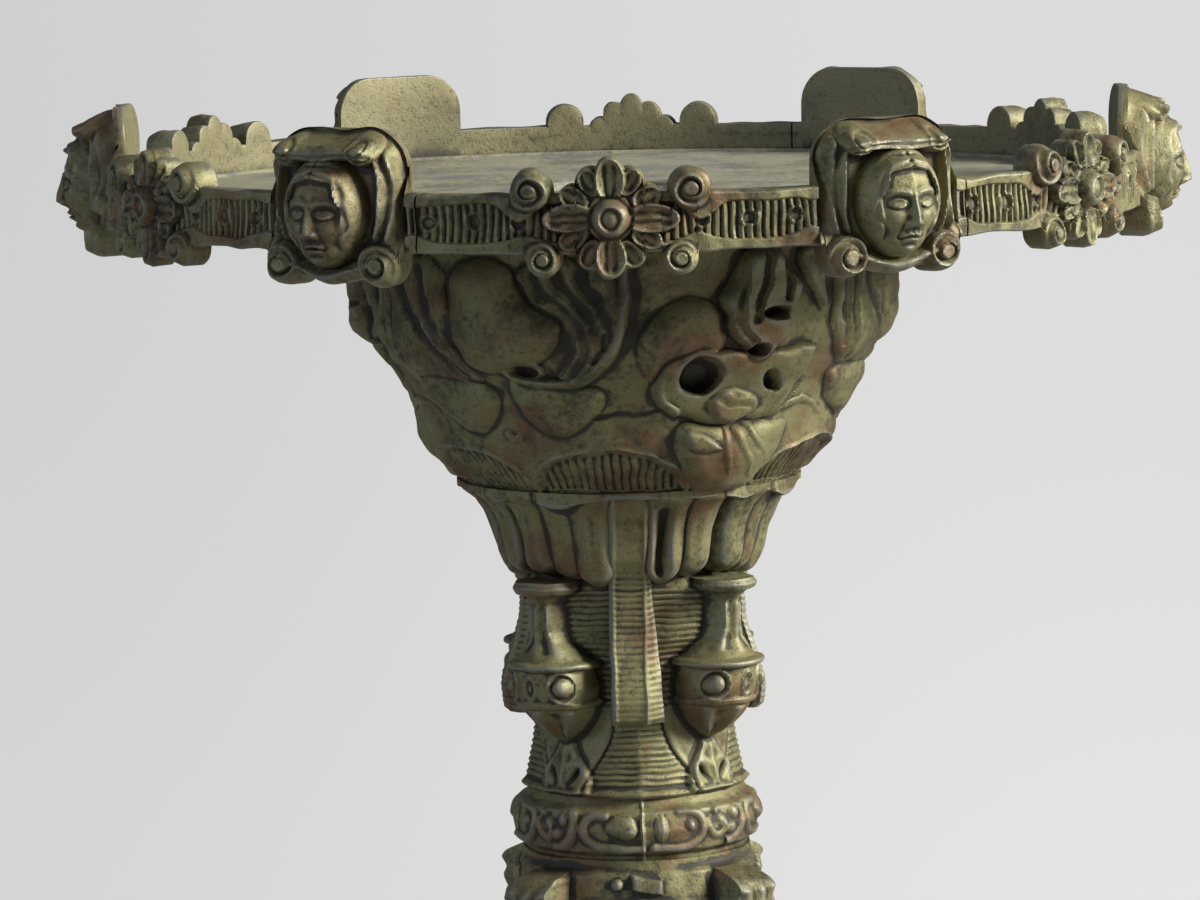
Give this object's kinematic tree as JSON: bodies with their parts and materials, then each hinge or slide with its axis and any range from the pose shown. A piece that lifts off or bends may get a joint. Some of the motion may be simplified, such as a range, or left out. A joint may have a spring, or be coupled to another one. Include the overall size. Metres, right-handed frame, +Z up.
{
  "type": "pillar candlestick",
  "caption": "Cast-metal pillar candlestick with a galleried pan of masks and rosettes on an urn stem, cup, knop and footed bell base.",
  "frame": {"origin": "on the table, under the middle of the four feet", "axes": "+Z up along the rod, the front of the object faces -Y"},
  "size_m": [0.1686, 0.162, 0.2144],
  "materials": {
    "cast_metal": "aged",
    "pan_metal": "aged",
    "steel": "dull"
  },
  "bodies": {
    "root": {"base_bell": "cast_metal", "foot_1": "cast_metal", "foot_2": "cast_metal", "foot_3": "cast_metal", "foot_4": "cast_metal", "foot_screw_1": "steel", "foot_screw_2": "steel", "foot_screw_3": "steel", "foot_screw_4": "steel", "tie_rod": "steel", "base_washer": "steel", "base_nut": "steel", "knop": "cast_metal", "stem": "cast_metal", "cup": "cast_metal", "pan_floor": "pan_metal", "pan_washer": "pan_metal", "pan_nut": "pan_metal", "gallery_segment_1": "cast_metal", "gallery_segment_2": "cast_metal", "gallery_segment_3": "cast_metal", "gallery_segment_4": "cast_metal", "gallery_segment_5": "cast_metal", "gallery_segment_6": "cast_metal"}
  },
  "joints": []
}
